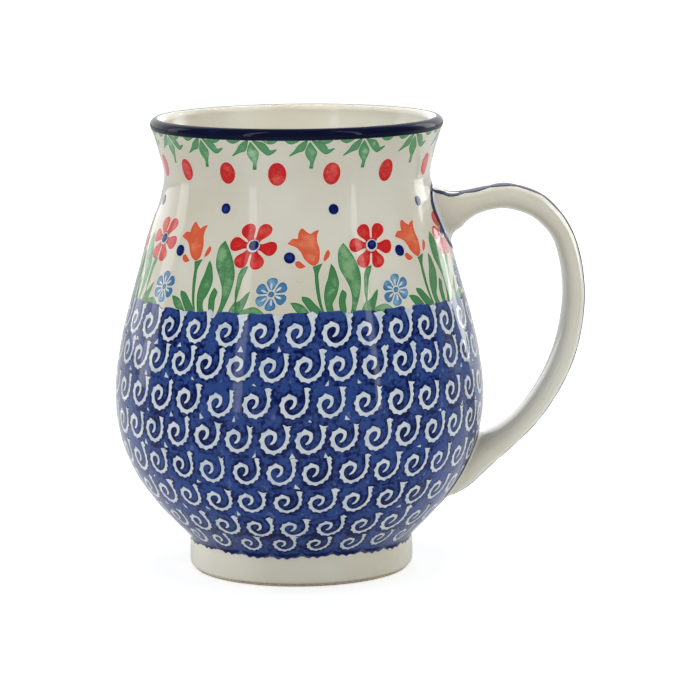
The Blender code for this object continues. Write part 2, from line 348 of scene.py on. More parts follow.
def ribbon(middle, left, right, notch):
    """A patch along a line, with its own widths to the left and right. Its start is pointed, and its end is
    notched, or pointed where the notch is negative."""
    side = sideways(middle)
    forward = np.column_stack([side[:, 1], -side[:, 0]])
    count = len(middle)
    tips = [middle[-1] - forward[-1] * notch, middle[0] - forward[0] * left[0]]
    points = np.vstack([middle + side * left[:, None], middle - side * right[:, None], tips])
    cells = [(i, count + i, count + i + 1, i + 1) for i in range(count - 1)]
    cells += [(count - 1, 2 * count - 1, 2 * count), (0, 2 * count + 1, count)]
    return points, cells, np.zeros(len(points))


def rotated(x, y, degrees):
    cosine, sine = math.cos(math.radians(degrees)), math.sin(math.radians(degrees))
    return x * cosine - y * sine, x * sine + y * cosine


def on_wall_at(angle, height, tilt=0.0, size=1.0):
    """Wraps a flat patch on to the wall with its origin at an angle in degrees and a height."""
    base = length_at(height)

    def place(flat, lift):
        x, y = rotated(flat[:, 0] * size, flat[:, 1] * size, tilt)
        length = np.clip(base + y * MM, 0.0, WALL_LENGTH[-1])
        return wall_point(math.radians(angle) + x * MM / radius_at(length), length, lift)

    return place


def lay(name, stamps, lift, material, slot):
    """One piece from many patches. A stamp is (patch, place, tone), and place(flat, lift) gives points and
    normals. Each patch gets an underside and sides along the edges that only one of its cells has."""
    solids, depths, tones, faces, normals = [], [], [], [], []
    start = 0
    for (flat, cells, depth), place, tone in stamps:
        top, normal = place(flat, lift)
        count = len(flat)
        solids += [top, top - normal * (lift + PAINT_DEPTH)]
        depths += [depth, depth]
        tones.append(np.full(2 * count, tone))
        open_sides = {}
        for cell in cells:
            faces.append([start + index for index in cell])
            normals.extend(normal[list(cell)])
            faces.append([start + count + index for index in reversed(cell)])
            normals.extend(-normal[list(reversed(cell))])
            for one, two in zip(cell, cell[1:] + cell[:1]):
                if not open_sides.pop((two, one), False):
                    open_sides[one, two] = True
        for one, two in open_sides:
            faces.append([start + two, start + one, start + count + one, start + count + two])
            normals.extend(normal[[two, one, one, two]])
        start += 2 * count
    thing = new_object(name, np.vstack(solids), faces, material)
    set_value(thing, "depth", np.concatenate(depths))
    set_value(thing, "tone", np.concatenate(tones))
    set_normals(thing, normals)
    finish_piece(thing, slot)


# Materials
def srgb(red, green, blue):
    """A colour on the 0 to 255 scale as linear values."""
    values = [value / 255 for value in (red, green, blue)]
    return tuple(v / 12.92 if v <= 0.04045 else ((v + 0.055) / 1.055) ** 2.4 for v in values) + (1.0,)


class Nodes:
    """A short way to write the node tree of a material or a world."""

    def __init__(self, owner, shader="Principled BSDF"):
        owner.use_nodes = True
        self.owner = owner
        self.tree = owner.node_tree
        self.shader = self.tree.nodes[shader]

    def put(self, socket, value):
        if isinstance(value, bpy.types.NodeSocket):
            self.tree.links.new(value, socket)
        else:
            socket.default_value = value

    def fill(self, node, inputs):
        for key, value in inputs.items():
            self.put(node.inputs[key.replace("_", " ")], value)
        return node

    def add(self, kind, **inputs):
        return self.fill(self.tree.nodes.new(kind), inputs)

    def shade(self, **inputs):
        self.fill(self.shader, inputs)

    def noise(self, scale, detail=3.0, stretch=(1.0, 1.0, 1.0)):
        place = self.add("ShaderNodeTexCoord").outputs["Object"]
        sized = self.add("ShaderNodeMapping", Vector=place, Scale=stretch).outputs[0]
        return self.add("ShaderNodeTexNoise", Vector=sized, Scale=scale, Detail=detail).outputs["Fac"]

    def value(self, name):
        node = self.add("ShaderNodeAttribute")
        node.attribute_name = name
        return node.outputs["Fac"]

    def math(self, operation, one, two):
        node = self.add("ShaderNodeMath")
        node.operation = operation
        self.put(node.inputs[0], one)
        self.put(node.inputs[1], two)
        return node.outputs[0]

    def plus(self, one, two):
        return self.math("ADD", one, two)

    def times(self, one, two):
        return self.math("MULTIPLY", one, two)

    def about_zero(self, noise, strength):
        """A noise as an even swing to both sides of zero."""
        return self.times(self.math("SUBTRACT", noise, 0.5), strength)

    def ramp(self, factor, low, high):
        """The factor stretched so that low becomes 0 and high becomes 1, smoothly."""
        node = self.add("ShaderNodeMapRange", Value=factor, From_Min=low, From_Max=high)
        node.interpolation_type = "SMOOTHSTEP"
        return node.outputs["Result"]

    def between(self, share, low, high):
        """A value that goes from low to high as a share goes from 0 to 1."""
        return self.add("ShaderNodeMapRange", Value=share, To_Min=low, To_Max=high).outputs["Result"]

    def mix(self, factor, one, two):
        node = self.add("ShaderNodeMix")
        node.data_type = "RGBA"
        return self.fill(node, {"Factor": factor, "A": one, "B": two}).outputs["Result"]

    def bump(self, strength, distance, height):
        return self.add("ShaderNodeBump", Strength=strength, Distance=distance, Height=height).outputs[0]

    def glaze(self, colour, sheen=0.06, coat=1.0):
        """Glossy clear glaze over a colour, with the faint ripple that every glazed piece shares."""
        self.shade(Base_Color=colour, Roughness=0.42, Specular_IOR_Level=0.0)
        ripple = self.plus(self.noise(55.0, 1.0), self.times(self.noise(420.0, 2.0), 0.05))
        self.shade(Coat_Weight=coat, Coat_Roughness=sheen, Coat_IOR=1.5)
        self.shade(Coat_Normal=self.bump(0.1, 0.0006, ripple))
        return self.owner


def new_material(name):
    return Nodes(bpy.data.materials.new(name))


def cream_colour(nodes):
    """Clear glaze over buff clay: nearly even, a little warmer where it lies thin, with rare iron specks."""
    cloud = nodes.ramp(nodes.noise(28.0, 2.0), 0.35, 0.7)
    colour = nodes.mix(cloud, srgb(223, 221, 207), srgb(214, 209, 191))
    mottle = nodes.ramp(nodes.noise(330.0, 2.0), 0.52, 0.8)
    colour = nodes.mix(nodes.times(mottle, 0.25), colour, srgb(217, 222, 213))
    speck = nodes.ramp(nodes.noise(900.0, 0.0), 0.83, 0.88)
    return nodes.mix(nodes.times(speck, 0.15), colour, srgb(150, 128, 98))


def cream_glaze():
    nodes = new_material("cream_glaze")
    return nodes.glaze(cream_colour(nodes))


def tinged_glaze(name, value, low, high, strength, tint):
    """The same glaze, tinged where paint bled into it, as a stored value goes from low to high."""
    nodes = new_material(name)
    cream = cream_colour(nodes)
    share = nodes.times(nodes.ramp(nodes.value(value), low, high), strength)
    return nodes.glaze(nodes.mix(share, cream, srgb(*tint)))


def bare_clay():
    nodes = new_material("bare_clay")
    grain = nodes.noise(1400.0, 4.0)
    colour = nodes.mix(nodes.ramp(grain, 0.35, 0.7), srgb(196, 184, 160), srgb(168, 154, 130))
    nodes.shade(Base_Color=colour, Roughness=0.9, Normal=nodes.bump(0.5, 0.0002, grain))
    return nodes.owner


def lip_cobalt():
    """Thick dark cobalt, a little thinner and bluer in streaks along the lip."""
    nodes = new_material("lip_cobalt")
    streak = nodes.ramp(nodes.noise(60.0, 3.0, (1.0, 1.0, 6.0)), 0.45, 0.8)
    return nodes.glaze(nodes.mix(streak, srgb(13, 19, 44), srgb(28, 37, 76)), 0.05, 0.45)


def scroll_blue():
    """Sponge-stamped cobalt, navy where two stamps overlap, along the scrolls and along the lower edge."""
    nodes = new_material("scroll_blue")
    sponge = nodes.noise(900.0)
    cover = nodes.value("cover")
    overlap = nodes.times(nodes.ramp(cover, 1.15, 1.9), 0.75)
    rim = nodes.times(nodes.ramp(nodes.value("edge"), 1.3, 0.1), 0.7)
    grainy = nodes.about_zero(sponge, 3.1)
    cloudy = nodes.about_zero(nodes.noise(240.0, 2.0), 1.6)
    dark = nodes.plus(nodes.math("MAXIMUM", overlap, rim), nodes.plus(grainy, cloudy))
    dark = nodes.plus(dark, nodes.value("tone"))
    dark = nodes.math("MAXIMUM", dark, nodes.ramp(nodes.value("rise"), 1.9, 0.8))
    colour = nodes.mix(nodes.ramp(dark, -0.25, 1.0), srgb(50, 77, 142), srgb(9, 22, 76))
    thin = nodes.times(nodes.ramp(sponge, 0.6, 0.74), nodes.ramp(dark, 0.8, 0.0))
    colour = nodes.mix(nodes.times(thin, 0.45), colour, srgb(96, 126, 186))
    bare = nodes.ramp(nodes.plus(cover, nodes.times(grainy, 0.3)), 0.4, 0.0)
    return nodes.glaze(nodes.mix(nodes.times(bare, 0.3), colour, srgb(120, 142, 184)))


def scroll_cream():
    """The unpainted ground that the scrolls leave, tinged by the blue beside it."""
    nodes = new_material("scroll_cream")
    tinge = nodes.ramp(nodes.noise(380.0), 0.4, 0.75)
    return nodes.glaze(nodes.mix(tinge, srgb(214, 222, 226), srgb(188, 204, 219)))


def brushed(name, light, main, dark, rim=0.35, coat=1.0, grain=0.7):
    """Underglaze colour laid with a brush: darker where it pools at the rim, lighter in soft streaks."""
    nodes = new_material(name)
    depth = nodes.value("depth")
    streak = nodes.times(nodes.ramp(nodes.noise(300.0), 0.3, 0.75), 0.7)
    body = nodes.plus(streak, nodes.times(nodes.ramp(depth, 0.2, 1.5), 0.35))
    fine = nodes.about_zero(nodes.noise(1500.0, 2.0), grain)
    body = nodes.plus(nodes.plus(body, nodes.value("tone")), fine)
    colour = nodes.mix(nodes.ramp(body, 0.25, 1.1), srgb(*main), srgb(*light))
    pooled = nodes.times(nodes.ramp(depth, rim, 0.0), 0.55)
    return nodes.glaze(nodes.mix(pooled, colour, srgb(*dark)), coat=coat)


# The vessel: (r, z) in mm down the foot, under it to the middle of its recess, and round the bare ring.
FOOT_SIDE = [(29.73, 5.4), (29.76, 3.6), (29.7, 2.1), (29.5, 1.15), (29.1, 0.85)]
UNDERSIDE = [
    (28.4, 0.8), (26.2, 0.8), (25.5, 0.85), (25.1, 1.3), (24.8, 2.0), (24.2, 2.3), (18.0, 2.25), (9.0, 2.15),
    (0.0, 2.1),
]
BARE_RING = [
    (26.0, 0.9), (25.85, 0.35), (26.3, 0.04), (26.8, 0.0), (27.9, 0.0), (28.5, 0.06), (28.85, 0.4),
    (28.8, 0.9),
]
# How far the lip band's cobalt stands off the glaze, and how far it is sunk in it.
BAND_LIFT = 0.13 * MM
BAND_SINK = 0.25 * MM


def lip_line(count=26):
    """(r, z) over the lip, from the inside wall to the outside wall, as half of a soft oval."""
    half = LIP_THICKNESS / 2
    angles = np.radians(np.linspace(180.0, 0.0, count))
    heights = HEIGHT - LIP_HEIGHT + LIP_HEIGHT * np.sin(angles)
    return np.column_stack([LIP_RADIUS - half + half * np.cos(angles), heights])


def vessel_line():
    """(r, z) from the middle of the floor, over the lip and down to the middle of the underside. Its points
    are closest near the foot, where paint follows a tight curve."""
    inner = skin_stations("inner_glaze", outer=False)
    inner = inner[(inner[:, 1] < HEIGHT - 4 * MM) & (inner[:, 0] > 4 * MM)]
    lining = respaced(spline(np.vstack([[(0.0, FLOOR_HEIGHT)], inner, lip_line()[:1]])), LINING_ROWS)
    high = WALL[:, 1] > FOOT_CORNER
    outside = [respaced(WALL[high][::-1], UPPER_ROWS), respaced(WALL[~high][::-1], LOWER_ROWS)]
    foot = respaced(spline(np.vstack([FOOT_KNOTS[:1], np.array(FOOT_SIDE) * MM])), FOOT_ROWS)
    return np.vstack([lining, lip_line()[1:-1], *outside, foot[1:], np.array(UNDERSIDE) * MM])


def build_vessel():
    vessel = turned_solid("glazed_vessel", vessel_line(), cream_glaze(), to_axis=True)
    finish_piece(vessel, "clear_glaze", "clay_body", "outer_glaze", "inner_glaze", "well_glaze")
    ring = turned_solid("bare_standing_ring", np.array(BARE_RING) * MM, bare_clay(), straying=False)
    finish_piece(ring, "stoneware_clay")


def build_lip_band():
    """The cobalt band is a thin coat that thins to nothing at both edges."""
    down = WALL[(WALL[:, 1] > BAND_LOW.z) & (WALL[:, 1] < HEIGHT - LIP_HEIGHT)][::-1]
    line = np.vstack([lip_line(40)[20:], respaced(down, 8)])
    share = lengths(line) / lengths(line)[-1]
    thick = BAND_LIFT * np.clip(np.minimum(share, 1 - share) * 14, 0.0, 1.0) ** 0.5
    outward = sideways(line)
    skin = line + outward * thick[:, None]
    under = line - outward * BAND_SINK
    band = turned_solid("cobalt_lip_band", np.vstack([skin, under[::-1]]), lip_cobalt())
    finish_piece(band, "cobalt_glaze", "rim_band")


# The handle: distance from the vessel's axis, height, half thickness and half width along the strap, in mm.
STRAP = [
    (31.0, 94.0, 7.2, 8.9), (36.0, 94.3, 6.8, 8.8), (40.0, 94.5, 5.6, 8.5), (43.5, 95.8, 3.9, 8.0),
    (46.8, 97.0, 3.2, 7.6), (50.6, 97.9, 3.05, 7.4), (54.6, 98.4, 3.2, 7.3), (58.8, 97.6, 3.2, 7.3),
    (63.1, 95.8, 3.15, 7.3), (66.7, 92.6, 2.95, 7.3), (69.7, 88.4, 2.75, 7.3), (71.8, 82.0, 2.8, 7.3),
    (72.7, 75.6, 2.85, 7.3), (72.8, 71.0, 2.9, 7.3), (71.8, 62.8, 2.95, 7.3), (70.1, 56.3, 3.0, 7.2),
    (67.3, 49.8, 2.95, 7.1), (63.4, 43.4, 2.9, 7.1), (59.4, 38.4, 2.9, 7.2), (55.2, 34.7, 3.1, 7.6),
    (51.6, 32.2, 3.7, 8.1), (47.0, 29.3, 4.6, 8.7), (42.3, 25.6, 5.1, 9.1), (38.0, 23.2, 5.2, 9.2),
    (33.0, 21.7, 4.4, 9.0),
]
STRAP_SIDES = 48
STRAP_STEPS = 150
FREE_RINGS = 90
FILLET_STEPS = 9
SECTION_POWER = 0.9
# How far the handle's ends go into the wall.
ROOT_SINK = 0.6 * MM


def strap_lines():
    """Lines that run along the strap's skin from one end to the other, one for each side of its section."""
    path = respaced(spline(np.array(STRAP) * MM), STRAP_STEPS)
    across = sideways(path[:, :2])
    angle = 2 * math.pi * (np.arange(STRAP_SIDES) + 0.5) / STRAP_SIDES
    cosine = np.sign(np.cos(angle)) * abs(np.cos(angle)) ** SECTION_POWER
    sine = np.sign(np.sin(angle)) * abs(np.sin(angle)) ** SECTION_POWER
    sway = 0.18 * MM * np.sin(5.0 * np.linspace(0.0, 1.0, STRAP_STEPS) + 0.6)
    away = path[:, :1] + across[:, :1] * path[:, 2:3] * sine
    rise = path[:, 1:2] + across[:, 1:] * path[:, 2:3] * sine
    return np.stack([AXIS_X + away, path[:, 3:] * cosine + sway[:, None], rise], axis=-1)


def over_wall(points):
    """How far points stand off the wall, by radius at their height."""
    radius = np.hypot(points[..., 0] - AXIS_X, points[..., 1])
    return radius - np.interp(points[..., 2], WALL[:, 1], WALL[:, 0])


def on_wall(points, lift=0.0):
    """The same points moved on to the wall at their own angle and height."""
    angle = np.arctan2(points[..., 0] - AXIS_X, -points[..., 1])
    return wall_point(angle, length_at(points[..., 2]), lift)


def root_rings(lines, fillet):
    """Carries the strap's skin on to the wall. Its lines run from its middle to its end, and bend outwards in
    a fillet. Gives each line's last free point, the fillet's rings, their last one, and that one sunk."""
    gap = over_wall(lines)
    crossing = np.zeros((STRAP_SIDES, 3))
    last = np.zeros(STRAP_SIDES, int)
    reach = fillet(2 * math.pi * (np.arange(STRAP_SIDES) + 0.5) / STRAP_SIDES) * MM
    for side in range(STRAP_SIDES):
        hit = int(np.argmax(gap[:, side] < 0))
        share = gap[hit - 1, side] / (gap[hit - 1, side] - gap[hit, side])
        crossing[side] = lines[hit - 1, side] + share * (lines[hit, side] - lines[hit - 1, side])
        back = np.linalg.norm(lines[:hit, side] - crossing[side], axis=1)
        last[side] = np.max(np.nonzero(back > reach[side])[0])
    start = lines[last, np.arange(STRAP_SIDES)]
    away = crossing - crossing.mean(axis=0)
    _, normal = on_wall(crossing)
    away -= (away * normal).sum(axis=1)[:, None] * normal
    away /= np.linalg.norm(away, axis=1)[:, None]
    landing, normal = on_wall(crossing + away * reach[:, None], LIFT_ROOT)
    steps = np.linspace(0.0, 1.0, FILLET_STEPS + 1)
    rings = [(1 - t) ** 2 * start + 2 * t * (1 - t) * crossing + t**2 * landing for t in steps]
    return last, rings[1:], landing, landing - normal * ROOT_SINK


def build_handle():
    """The strap, with a fillet at both roots. Gives its rings and both roots' rings on the wall."""
    lines = strap_lines()
    half = STRAP_STEPS // 2
    first, upper, upper_landing, upper_sunk = root_rings(
        lines[half::-1], lambda turn: 0.9 + 2.4 * np.maximum(0.0, -np.sin(turn)) ** 2
    )
    last, lower, lower_landing, lower_sunk = root_rings(
        lines[half:], lambda turn: 1.0 + 0.9 * np.sin(turn) ** 2
    )
    body = np.zeros((FREE_RINGS, STRAP_SIDES, 3))
    for side in range(STRAP_SIDES):
        stretch = lines[half - first[side] : half + last[side] + 1, side]
        body[:, side] = respaced(stretch, FREE_RINGS, columns=3)
    rings = np.array([upper_sunk, *upper[::-1], *body, *lower, lower_sunk])
    points = rings.reshape(-1, 3)
    faces = grid_faces(len(rings), STRAP_SIDES)
    faces += [range(STRAP_SIDES), range(len(points) - STRAP_SIDES, len(points))]
    tinged = tinged_glaze("handle_glaze", "off_wall", 1.2, 0.6, 0.7, (206, 213, 222))
    handle = new_object("strap_handle", points, faces, tinged)
    untinged = np.where(points[:, 2] < HEIGHT / 2, 0.7, 0.0)
    set_value(handle, "off_wall", over_wall(points) / MM + untinged)
    face_outwards(handle)
    finish_piece(handle, "clear_glaze", "clay_handle", "handle_glaze", "upper_slip_joint", "lower_slip_joint")
    return rings, upper_landing, lower_landing


def on_strap(rings):
    """Wraps a flat patch on to the strap's outer face: x runs across it, +x at the mug's front, and y along
    it from the upper root. Also gives the strap's length in mm."""
    quarter = STRAP_SIDES // 4
    along = lengths((rings[:, quarter - 1] + rings[:, quarter]) / 2, columns=3) / MM
    half = abs(rings[..., 1]).max(axis=1) / MM

    def spot(row, turn):
        row = np.clip(row, 0.0, len(rings) - 1.001)
        side = turn / (2 * math.pi) * STRAP_SIDES - 0.5
        low_row, low_side = row.astype(int), np.floor(side).astype(int)
        share_row, share_side = (row - low_row)[:, None], (side - low_side)[:, None]
        near, far = (
            rings[at, low_side] * (1 - share_side) + rings[at, low_side + 1] * share_side
            for at in (low_row, low_row + 1)
        )
        return near * (1 - share_row) + far * share_row

    def place(flat, lift):
        x, y = flat.T
        row = np.interp(y, along, np.arange(len(rings)))
        cosine = np.clip(abs(x) / np.interp(y, along, half), 0.0, 0.995) ** (1 / SECTION_POWER)
        turn = np.arccos(-np.sign(x) * cosine)
        lengthwise = spot(row + 0.3, turn) - spot(row - 0.3, turn)
        crosswise = spot(row, turn + 0.05) - spot(row, turn - 0.05)
        normal = np.cross(crosswise, lengthwise)
        normal /= np.linalg.norm(normal, axis=1)[:, None]
        return spot(row, turn) + normal * lift, normal

    return place, along[-1]


# The cobalt lines round the handle's roots: a root's height, and how much its line widens beside the strap.
ROOT_LINES = [(95.0, 1.3), (27.0, 2.3)]
ROOT_LINE_ROWS = 6
# The brush stroke from each side of the upper root, as (across, along) the strap in mm, and the chain of dabs
# that follows it. The first dabs are the widest.
ROOT_STROKE = [(4.9, 0.4), (4.6, 3.0), (4.1, 5.4), (3.6, 7.2), (2.6, 9.2), (1.3, 11.2)]
ROOT_STROKE_WIDTH = 1.1
FIRST_DAB = 13.0
LAST_DAB_FROM_END = 8.0
DAB_PITCH = 7.4
DAB_LINE = [(1.3, -4.5), (0.8, 0.0), (1.3, 4.5)]
DAB_WIDTHS = (3.3, 2.7, 2.3)
STROKE_STEPS = 26
STROKE_COLUMNS = 9


def near_angle(angle, centre):
    """An angle from a centre, by the shorter way round, in radians."""
    return (angle - centre + math.pi) % (2 * math.pi) - math.pi


def ring_patch(loop, inner, outer):
    """A closed ribbon between two offsets of a loop, fine enough to follow the wall."""
    shares = np.arange(ROOT_LINE_ROWS) / (ROOT_LINE_ROWS - 1)
    points = np.vstack([spread(loop, inner + (outer - inner) * share) for share in shares])
    return points, oriented(points, grid_faces(ROOT_LINE_ROWS, len(loop))), np.zeros(len(points))


def stroke(line, width):
    """A brush stroke along a line, thin at both ends and fine enough across to follow the strap."""
    middle = respaced(spline(line), STROKE_STEPS)
    half = width * np.sin(math.pi * np.linspace(0.02, 0.98, STROKE_STEPS)) ** 0.8
    across = half[:, None] * np.linspace(-1.0, 1.0, STROKE_COLUMNS)
    points = (middle[:, None] + sideways(middle)[:, None] * across[..., None]).reshape(-1, 2)
    cells = grid_faces(STROKE_STEPS, STROKE_COLUMNS, closed=False)
    return points, oriented(points, cells), (half[:, None] - abs(across)).ravel()


def build_handle_paint(rings, *landings):
    """Cobalt lines round both roots, widest beside the strap, and brush strokes down its outer face."""
    shuffle = np.random.default_rng(3)
    stamps = []
    for landing, (height, widening) in zip(landings, ROOT_LINES):
        length = length_at(landing[:, 2])
        across = near_angle(np.arctan2(landing[:, 0] - AXIS_X, -landing[:, 1]), math.pi / 2)
        flat = np.column_stack([across * radius_at(length), length - length_at(height * MM)]) / MM
        loop = spline(flat, closed=True, per_span=3)
        turn = np.linspace(0.0, 2 * math.pi, len(loop), endpoint=False)
        width = 0.55 + widening * np.cos(turn) ** 2 + 0.16 * np.sin(3 * turn + 0.5) + 0.1 * np.sin(7 * turn)
        stamps.append((ring_patch(loop, -0.4, width), on_wall_at(90.0, height * MM), 0.0))
    place, strap_length = on_strap(rings)
    for side in (-1, 1):
        line = [(side * across, along) for across, along in ROOT_STROKE]
        stamps.append((stroke(line, ROOT_STROKE_WIDTH), place, 0.0))
    for number, middle in enumerate(np.arange(FIRST_DAB, strap_length - LAST_DAB_FROM_END, DAB_PITCH)):
        width = DAB_WIDTHS[min(number, 2)] + shuffle.uniform(-0.2, 0.2)
        stamps.append((stroke(moved(DAB_LINE, (0.0, middle)), width), place, shuffle.uniform(-0.1, 0.2)))
    navy = brushed("line_cobalt", (44, 64, 128), (14, 24, 74), (6, 11, 48), coat=0.4)
    lay("handle_brushwork", stamps, LIFT_LINE, navy, "underglaze_cobalt")


# Flowers and leaves
# Eight groups stand on the scrolled band. All share one drawing, whose origin is on the band's top edge.
GROUP_ANGLES = [-42.7, 3.6, 47.0] + [47.0 + 45.05 * step for step in range(1, 6)]
GROUP_HEIGHT = 74.0 * MM

# Leaves and stems: (tone, outline). A third value marks a pointed tip.
LEAVES = {
    "big_leaf": (0.10, [(9.5, 17.9, 1), (10.6, 16.5), (12.1, 14.2), (13.2, 11.9), (13.9, 9.5), (13.9, 7.1),
        (13.5, 4.6), (12.8, 2.0), (11.8, -1.0, 1), (10.7, -0.9, 1), (11.3, 1.3), (11.4, 4.2), (10.9, 6.4),
        (9.8, 8.7), (8.4, 11.3), (8.0, 13.9), (8.3, 16.3)]),
    "middle_leaf": (-0.25, [(6.1, 12.6, 1), (6.9, 11.6), (7.6, 9.6), (8.0, 7.7), (7.6, 5.4), (6.8, 3.5),
        (6.2, 2.4), (6.4, 0.8), (7.1, -0.7, 1), (5.1, -0.8, 1), (4.4, 1.6), (4.1, 4.3), (4.5, 6.9),
        (5.2, 8.9), (5.7, 11.1)]),
    "tulip_stem": (-0.35, [(1.4, 12.0, 1), (3.8, 12.8, 1), (3.0, 11.0), (2.7, 10.0), (2.8, 7.6), (3.0, 5.0),
        (3.5, 1.9), (4.3, -0.6, 1), (3.3, 0.8), (2.7, 2.5), (2.2, 5.0), (1.9, 7.6), (1.8, 10.2)]),
    "dark_leaf": (-0.75, [(-1.6, 4.4, 1), (0.1, 4.0), (1.6, 2.5), (3.1, 0.8), (4.1, -0.8, 1),
        (1.7, -1.1, 1), (0.4, 0.5), (-0.9, 2.4), (-1.6, 3.6)]),
    "low_leaf": (0.0, [(-4.6, 2.8, 1), (-3.3, 2.8), (-1.6, 2.2), (-0.4, 0.9), (1.0, -1.0, 1),
        (-0.8, -0.7, 1), (-2.8, 0.2), (-3.8, 1.4)]),
    "small_leaf": (-0.6, [(8.9, 5.9, 1), (9.9, 4.9), (9.6, 2.9), (9.8, 0.8), (9.7, -1.2, 1), (8.8, -1.3, 1),
        (8.1, 0.8), (7.9, 3.0), (8.3, 4.8)]),
    "flower_stem": (0.05, [(15.8, 11.2), (15.0, 9.6), (14.9, 7.4), (14.9, 4.8), (15.2, 2.7), (14.5, 1.4),
        (13.5, -0.9, 1), (15.7, -1.2, 1), (15.7, 1.0), (15.6, 2.7), (15.7, 4.4), (16.0, 7.0), (16.2, 8.6),
        (16.8, 10.3), (17.1, 11.7, 1)]),
    "side_leaf": (0.0, [(18.7, 5.4, 1), (18.5, 3.7), (17.9, 1.5), (17.2, 0.0), (15.9, -0.7, 1), (15.7, 0.5),
        (15.6, 2.4, 1), (16.8, 3.3), (17.8, 4.6)]),
    "ground_leaf": (0.25, [(17.4, 0.5, 1), (18.4, 1.0), (20.6, 1.5), (22.2, 0.8), (23.8, -0.5, 1),
        (22.8, -0.7), (20.9, -0.9), (19.4, -0.2), (17.4, -0.5), (15.9, -0.9, 1)]),
}
TULIP = [
    (-4.9, 18.0, 1), (-3.6, 19.3), (-2.2, 19.3, 1), (-2.0, 20.9), (-1.1, 22.1), (0.1, 21.1), (1.1, 20.5, 1),
    (2.0, 21.2), (3.2, 21.6, 1), (2.7, 20.1), (2.7, 18.4), (3.2, 16.6), (3.2, 14.8), (2.9, 13.2), (1.7, 12.3),
    (0.4, 12.9), (-0.8, 14.2), (-1.7, 16.1), (-2.6, 17.0), (-3.9, 17.6),
]
LEFT_BUD = [(-3.1, 13.1), (-2.3, 13.6), (-1.5, 13.1), (-0.4, 12.1, 1), (-1.7, 11.6), (-2.7, 12.0)]
RIGHT_BUD = [(5.4, 16.3), (5.9, 15.5), (5.4, 14.2), (4.4, 13.3, 1), (4.2, 13.9), (4.7, 15.4)]
RED_FLOWER_CENTRE = (17.3, 16.8)
RED_PETALS = [175.0, 118.0, 62.0, -7.0, -66.0, -122.0]
RED_PETAL = [
    (1.0, -0.7), (2.2, -0.85), (3.3, -1.4), (4.4, -1.8), (5.5, -1.55), (6.15, -0.6), (6.15, 0.6), (5.5, 1.55),
    (4.4, 1.8), (3.3, 1.4), (2.2, 0.85), (1.0, 0.7),
]
BLUE_FLOWER_CENTRE = (24.3, 4.8)
BLUE_PETALS = [95.0 + 60.0 * step for step in range(6)]
BLUE_PETAL = [
    (1.15, -0.3), (2.0, -0.85), (3.0, -1.35), (3.8, -1.1), (4.15, 0.0), (3.8, 1.1), (3.0, 1.35), (2.0, 0.85),
    (1.15, 0.3),
]
PETAL_STREAK = [(1.0, 0.0, 1), (1.8, 0.26), (2.6, 0.22), (2.95, 0.0), (2.6, -0.22), (1.8, -0.26)]
# Ovals on the flowers and beside them: half width, half height and centre.
RED_FLOWER_RING = (1.65, 1.62, (17.38, 16.84))
RED_FLOWER_EYE = (1.3, 1.25, (17.45, 17.0))
BLUE_FLOWER_EYE = (0.75, 0.75, BLUE_FLOWER_CENTRE)
BIG_DOT = (1.45, 1.45, (-4.5, 14.4))

# The garland under the lip: its drawing's origin is at the band's lower edge.
GARLAND_ANGLES = [-83.2, -59.9, -39.0, -16.8, 6.2, 28.0, 54.2, 80.8] + [80.8 + 24.5 * n for n in range(1, 8)]
GARLAND_HEIGHT = 117.2 * MM
GARLAND = [
    (0.0, [(-0.8, -0.5, 1), (0.1, -1.8), (1.0, -3.4), (0.6, -5.0), (0.2, -6.1), (0.0, -7.8, 1),
        (-0.8, -7.8, 1), (-0.6, -6.0), (-1.3, -5.0), (-1.9, -3.6), (-1.6, -2.0)]),
    (-0.15, [(-1.5, -0.1, 1), (-1.9, -1.6), (-2.5, -2.8), (-3.9, -3.3), (-6.2, -4.4, 1), (-4.9, -3.0),
        (-4.0, -1.6), (-3.0, -0.7), (-1.9, -0.1)]),
    (-0.05, [(-0.3, 0.0, 1), (1.0, -0.3), (2.6, -0.7), (3.6, -1.9), (4.0, -2.7), (5.8, -2.4, 1),
        (4.5, -3.5), (3.4, -3.9), (2.0, -2.9), (0.7, -1.3)]),
    (0.1, [(-13.6, 0.3, 1), (-12.6, -0.5), (-11.1, -0.9), (-10.0, -0.5), (-9.2, 0.3, 1)]),
    (-0.2, [(-7.6, 0.3, 1), (-6.8, -0.5), (-5.8, -0.9), (-4.7, -0.6), (-3.2, 0.3, 1)]),
]
OVAL_ANGLES = [-74.2, -52.6, -29.9, -8.2, 14.2, 39.4, 68.6] + [68.6 + 24.1 * step for step in range(1, 9)]
OVAL_HEIGHT = 108.5 * MM
DOT_ANGLES = [-30.4 + 45.0 * step for step in range(8)]
DOT_HEIGHT = 99.4 * MM
# No small dot is laid this near the handle, in degrees.
HANDLE_CLEARANCE = 18.0

# The painted motifs' colours: lighter, main and pooled, and how unlike the others they are.
PAINTS = {
    "leaf_green": ((132, 178, 130), (76, 134, 86), (28, 84, 50), {}),
    "garland_green": ((158, 200, 160), (94, 152, 106), (30, 94, 60), {}),
    "tulip_orange": ((232, 134, 100), (220, 98, 66), (198, 60, 40), {}),
    "flower_red": ((224, 88, 80), (204, 38, 40), (158, 14, 24), {"grain": 1.3}),
    "flower_blue": ((136, 184, 208), (74, 126, 168), (22, 60, 118), {}),
    "dot_cobalt": ((44, 70, 146), (16, 30, 96), (8, 14, 62), {"rim": 0.7}),
}


def moved(line, centre=(0.0, 0.0), degrees=0.0):
    """Outline knots turned about the origin, then moved."""
    return [(*np.add(centre, rotated(x, y, degrees)), *corner) for x, y, *corner in line]


def oval(half_width, half_height, centre=(0.0, 0.0)):
    """Knots of an ellipse."""
    turns = [math.radians(30 * step) for step in range(12)]
    return [(centre[0] + half_width * math.cos(t), centre[1] + half_height * math.sin(t)) for t in turns]


